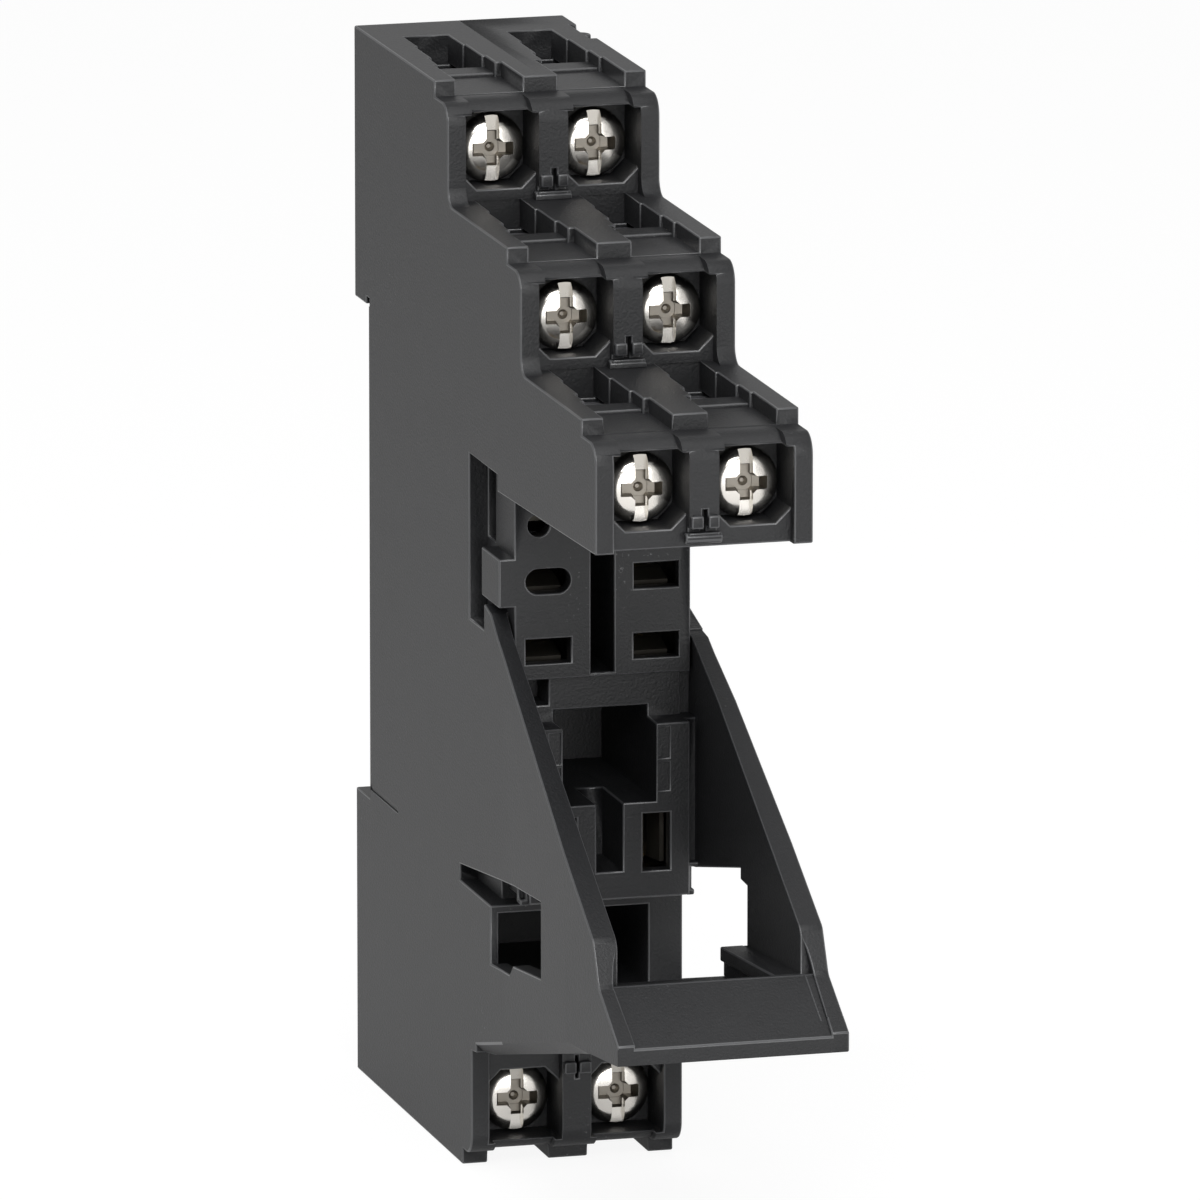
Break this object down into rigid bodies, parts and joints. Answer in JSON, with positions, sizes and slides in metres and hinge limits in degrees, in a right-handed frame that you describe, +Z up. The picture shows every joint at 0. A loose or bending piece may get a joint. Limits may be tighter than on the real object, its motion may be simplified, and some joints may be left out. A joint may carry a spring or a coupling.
{
  "type": "relay socket",
  "caption": "Slim stepped screw-terminal socket for a plug-in relay, clipped to a mounting rail, with a sloping shelf between two side cheeks below.",
  "frame": {"origin": "middle of the flat seat in the back notch where the rail lies", "axes": "+Y back out of the rail seat towards the rail, +Z up along the body, +X across the body to the right as seen from the front"},
  "size_m": [0.0164, 0.072, 0.0763],
  "materials": {
    "housing_plastic": "fine-grained dark charcoal moulding",
    "insulating_plastic": "dark grey moulding",
    "nickel_plated_steel": "bright nickel plating",
    "zinc_plated_steel": "clear zinc plating",
    "brass_strip": "rolled strip",
    "tinned_bronze": "tinned",
    "latch_plastic": "dark moulding",
    "spring_steel": "bright drawn wire"
  },
  "bodies": {
    "housing": {"housing_right": "housing_plastic", "housing_left": "housing_plastic", "centre_partition": "insulating_plastic", "latch_spring": "spring_steel", "contact_strip_tier1_right": "brass_strip", "blade_contact_tier1_right": "tinned_bronze", "contact_strip_tier1_left": "brass_strip", "blade_contact_tier1_left": "tinned_bronze", "contact_strip_tier2_right": "brass_strip", "blade_contact_tier2_right": "tinned_bronze", "contact_strip_tier2_left": "brass_strip", "blade_contact_tier2_left": "tinned_bronze", "contact_strip_tier3_right": "brass_strip", "blade_contact_tier3_right": "tinned_bronze", "contact_strip_tier3_left": "brass_strip", "blade_contact_tier3_left": "tinned_bronze", "contact_strip_coil_right": "brass_strip", "blade_contact_coil_right": "tinned_bronze", "contact_strip_coil_left": "brass_strip", "blade_contact_coil_left": "tinned_bronze"},
    "screw_tier1_right": {"terminal_screw_tier1_right": "nickel_plated_steel"},
    "cage_tier1_right": {"clamp_cage_tier1_right": "zinc_plated_steel"},
    "screw_tier1_left": {"terminal_screw_tier1_left": "nickel_plated_steel"},
    "cage_tier1_left": {"clamp_cage_tier1_left": "zinc_plated_steel"},
    "screw_tier2_right": {"terminal_screw_tier2_right": "nickel_plated_steel"},
    "cage_tier2_right": {"clamp_cage_tier2_right": "zinc_plated_steel"},
    "screw_tier2_left": {"terminal_screw_tier2_left": "nickel_plated_steel"},
    "cage_tier2_left": {"clamp_cage_tier2_left": "zinc_plated_steel"},
    "screw_tier3_right": {"terminal_screw_tier3_right": "nickel_plated_steel"},
    "cage_tier3_right": {"clamp_cage_tier3_right": "zinc_plated_steel"},
    "screw_tier3_left": {"terminal_screw_tier3_left": "nickel_plated_steel"},
    "cage_tier3_left": {"clamp_cage_tier3_left": "zinc_plated_steel"},
    "screw_coil_right": {"terminal_screw_coil_right": "nickel_plated_steel"},
    "cage_coil_right": {"clamp_cage_coil_right": "zinc_plated_steel"},
    "screw_coil_left": {"terminal_screw_coil_left": "nickel_plated_steel"},
    "cage_coil_left": {"clamp_cage_coil_left": "zinc_plated_steel"},
    "latch": {"rail_latch": "latch_plastic"}
  },
  "joints": [
    {"name": "turn_tier1_right", "type": "hinge", "parent": "housing", "child": "screw_tier1_right", "pos_m": [0.0037, -0.0183, 0.0317], "axis": [0, 1, 0], "range_deg": [0, 2521]},
    {"name": "clamp_tier1_right", "type": "slide", "parent": "housing", "child": "cage_tier1_right", "axis": [0, -1, 0], "range_m": [0, 0.0035]},
    {"name": "turn_tier1_left", "type": "hinge", "parent": "housing", "child": "screw_tier1_left", "pos_m": [-0.0037, -0.0183, 0.0317], "axis": [0, 1, 0], "range_deg": [0, 2521]},
    {"name": "clamp_tier1_left", "type": "slide", "parent": "housing", "child": "cage_tier1_left", "axis": [0, -1, 0], "range_m": [0, 0.0035]},
    {"name": "turn_tier2_right", "type": "hinge", "parent": "housing", "child": "screw_tier2_right", "pos_m": [0.0037, -0.0377, 0.0235], "axis": [0, 1, 0], "range_deg": [0, 2521]},
    {"name": "clamp_tier2_right", "type": "slide", "parent": "housing", "child": "cage_tier2_right", "axis": [0, -1, 0], "range_m": [0, 0.0035]},
    {"name": "turn_tier2_left", "type": "hinge", "parent": "housing", "child": "screw_tier2_left", "pos_m": [-0.0037, -0.0377, 0.0235], "axis": [0, 1, 0], "range_deg": [0, 2521]},
    {"name": "clamp_tier2_left", "type": "slide", "parent": "housing", "child": "cage_tier2_left", "axis": [0, -1, 0], "range_m": [0, 0.0035]},
    {"name": "turn_tier3_right", "type": "hinge", "parent": "housing", "child": "screw_tier3_right", "pos_m": [0.0037, -0.0571, 0.0153], "axis": [0, 1, 0], "range_deg": [0, 2521]},
    {"name": "clamp_tier3_right", "type": "slide", "parent": "housing", "child": "cage_tier3_right", "axis": [0, -1, 0], "range_m": [0, 0.0035]},
    {"name": "turn_tier3_left", "type": "hinge", "parent": "housing", "child": "screw_tier3_left", "pos_m": [-0.0037, -0.0571, 0.0153], "axis": [0, 1, 0], "range_deg": [0, 2521]},
    {"name": "clamp_tier3_left", "type": "slide", "parent": "housing", "child": "cage_tier3_left", "axis": [0, -1, 0], "range_m": [0, 0.0035]},
    {"name": "turn_coil_right", "type": "hinge", "parent": "housing", "child": "screw_coil_right", "pos_m": [0.0037, -0.0245, -0.03522], "axis": [0, 1, 0], "range_deg": [0, 2521]},
    {"name": "clamp_coil_right", "type": "slide", "parent": "housing", "child": "cage_coil_right", "axis": [0, -1, 0], "range_m": [0, 0.0035]},
    {"name": "turn_coil_left", "type": "hinge", "parent": "housing", "child": "screw_coil_left", "pos_m": [-0.0037, -0.0245, -0.03522], "axis": [0, 1, 0], "range_deg": [0, 2521]},
    {"name": "clamp_coil_left", "type": "slide", "parent": "housing", "child": "cage_coil_left", "axis": [0, -1, 0], "range_m": [0, 0.0035]},
    {"name": "latch_slide", "type": "slide", "parent": "housing", "child": "latch", "axis": [0, 0, -1], "range_m": [0, 0.003], "stiffness_N_per_m": 1500, "springref_m": -0.002, "deforming": ["latch_spring"]}
  ],
  "couplings": [
    {"joint": "turn_tier1_right", "follows": "clamp_tier1_right", "rad_per_m": 12566},
    {"joint": "turn_tier1_left", "follows": "clamp_tier1_left", "rad_per_m": 12566},
    {"joint": "turn_tier2_right", "follows": "clamp_tier2_right", "rad_per_m": 12566},
    {"joint": "turn_tier2_left", "follows": "clamp_tier2_left", "rad_per_m": 12566},
    {"joint": "turn_tier3_right", "follows": "clamp_tier3_right", "rad_per_m": 12566},
    {"joint": "turn_tier3_left", "follows": "clamp_tier3_left", "rad_per_m": 12566},
    {"joint": "turn_coil_right", "follows": "clamp_coil_right", "rad_per_m": 12566},
    {"joint": "turn_coil_left", "follows": "clamp_coil_left", "rad_per_m": 12566}
  ]
}
